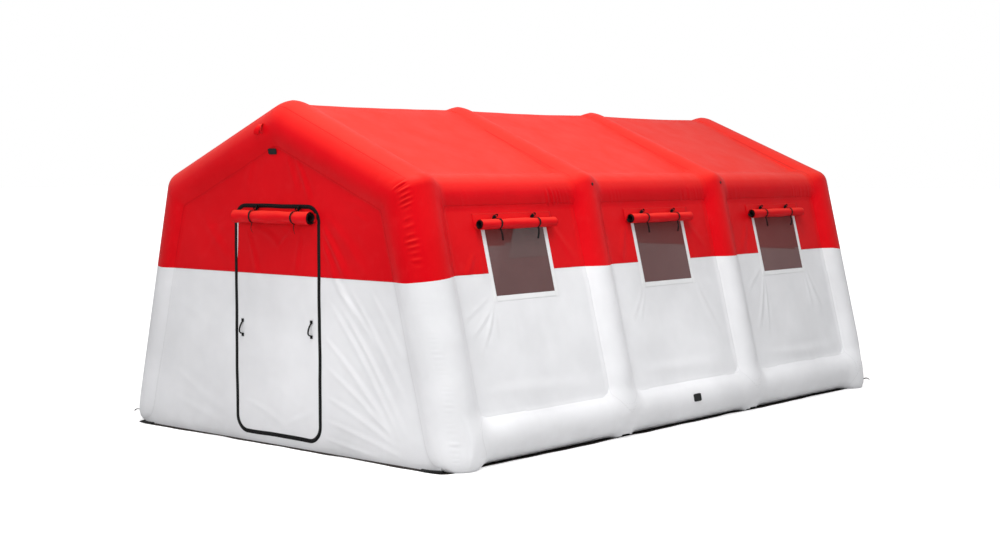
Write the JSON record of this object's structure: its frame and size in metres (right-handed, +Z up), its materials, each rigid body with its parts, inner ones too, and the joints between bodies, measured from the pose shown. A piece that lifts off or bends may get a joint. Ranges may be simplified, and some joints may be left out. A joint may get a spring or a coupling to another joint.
{
  "type": "inflatable isolation tent",
  "caption": "Air-tube frame tent with red roof and upper walls, white lower walls, mesh windows under rolled flaps and a zipped gable door.",
  "frame": {"origin": "on the ground under the middle of the tent", "axes": "+Z up, -Y out of the door gable, +X out of the long window wall that stands to the right of the door"},
  "size_m": [4.2712, 6.9258, 2.9987],
  "materials": {
    "red_coated_cloth": "coated red cloth, satin sheen",
    "white_coated_cloth": "coated white cloth, satin sheen",
    "window_net": "dark fine net, matte",
    "black_webbing": "black woven webbing and zip tape, matte",
    "ground_cloth": "dark coated ground cloth, matte"
  },
  "bodies": {
    "root": {"arch_front": "red_coated_cloth", "arch_second": "red_coated_cloth", "arch_third": "red_coated_cloth", "arch_rear": "red_coated_cloth", "lower_frame_near": "white_coated_cloth", "lower_frame_far": "white_coated_cloth", "eaves_tube_near_1": "red_coated_cloth", "eaves_tube_near_2": "red_coated_cloth", "eaves_tube_near_3": "red_coated_cloth", "eaves_tube_far_1": "red_coated_cloth", "eaves_tube_far_2": "red_coated_cloth", "eaves_tube_far_3": "red_coated_cloth", "roof_sheet_1": "red_coated_cloth", "roof_sheet_2": "red_coated_cloth", "roof_sheet_3": "red_coated_cloth", "wall_upper_near_1": "red_coated_cloth", "wall_lower_near_1": "white_coated_cloth", "window_mesh_near_1": "window_net", "window_flap_near_1": "red_coated_cloth", "wall_upper_near_2": "red_coated_cloth", "wall_lower_near_2": "white_coated_cloth", "window_mesh_near_2": "window_net", "window_flap_near_2": "red_coated_cloth", "wall_upper_near_3": "red_coated_cloth", "wall_lower_near_3": "white_coated_cloth", "window_mesh_near_3": "window_net", "window_flap_near_3": "red_coated_cloth", "wall_upper_far_1": "red_coated_cloth", "wall_lower_far_1": "white_coated_cloth", "window_mesh_far_1": "window_net", "window_flap_far_1": "red_coated_cloth", "wall_upper_far_2": "red_coated_cloth", "wall_lower_far_2": "white_coated_cloth", "window_mesh_far_2": "window_net", "window_flap_far_2": "red_coated_cloth", "wall_upper_far_3": "red_coated_cloth", "wall_lower_far_3": "white_coated_cloth", "window_mesh_far_3": "window_net", "window_flap_far_3": "red_coated_cloth", "tie_near_1_front": "black_webbing", "tie_near_1_back": "black_webbing", "tie_near_2_front": "black_webbing", "tie_near_2_back": "black_webbing", "tie_near_3_front": "black_webbing", "tie_near_3_back": "black_webbing", "gable_front_upper": "red_coated_cloth", "gable_front_lower": "white_coated_cloth", "gable_rear_upper": "red_coated_cloth", "gable_rear_lower": "white_coated_cloth", "door_panel_upper": "red_coated_cloth", "door_panel_lower": "white_coated_cloth", "door_zip_band": "black_webbing", "door_roll": "red_coated_cloth", "door_tie_left": "black_webbing", "door_handle_left": "black_webbing", "door_tie_right": "black_webbing", "door_handle_right": "black_webbing", "side_patch": "black_webbing", "apex_patch": "black_webbing", "ground_sheet": "ground_cloth"}
  },
  "joints": []
}
